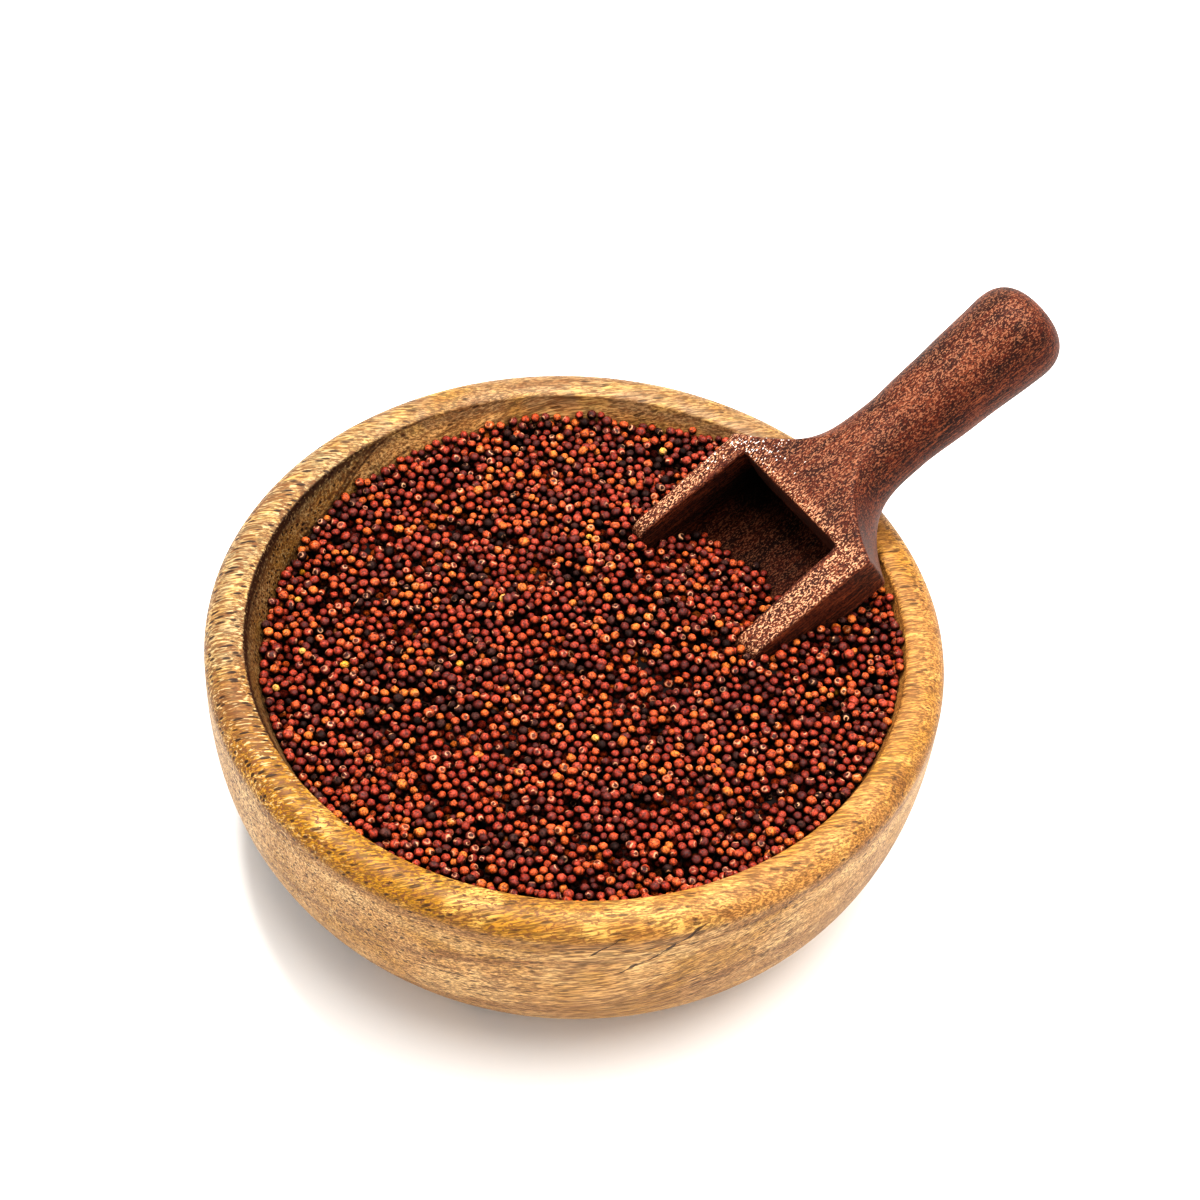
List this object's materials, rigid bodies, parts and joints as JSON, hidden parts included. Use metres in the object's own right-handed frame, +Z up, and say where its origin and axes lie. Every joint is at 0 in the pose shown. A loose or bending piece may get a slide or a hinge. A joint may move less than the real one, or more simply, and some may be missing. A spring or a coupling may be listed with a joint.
{
  "type": "bowl of finger millet",
  "caption": "Round turned wooden bowl filled with small dark red grain, with a small wooden scoop standing in the grain and its handle over the rim.",
  "frame": {"origin": "middle of the bowl's flat foot, on the surface it stands on", "axes": "+Z up, +Y away from the side the bowl is looked at from, +X to the right; the scoop's handle points to +X and +Y"},
  "size_m": [0.1233, 0.108, 0.0669],
  "materials": {
    "bowl_wood": "golden tan turned wood with open pores, satin oil",
    "millet_grain": "dry seed coat, brick red to maroon and near black, slight sheen",
    "scoop_wood": "dark reddish brown wood, matt, dusty, worn pale on its edges"
  },
  "bodies": {
    "root": {"bowl": "bowl_wood", "millet": "millet_grain", "scoop": "scoop_wood"}
  },
  "joints": []
}
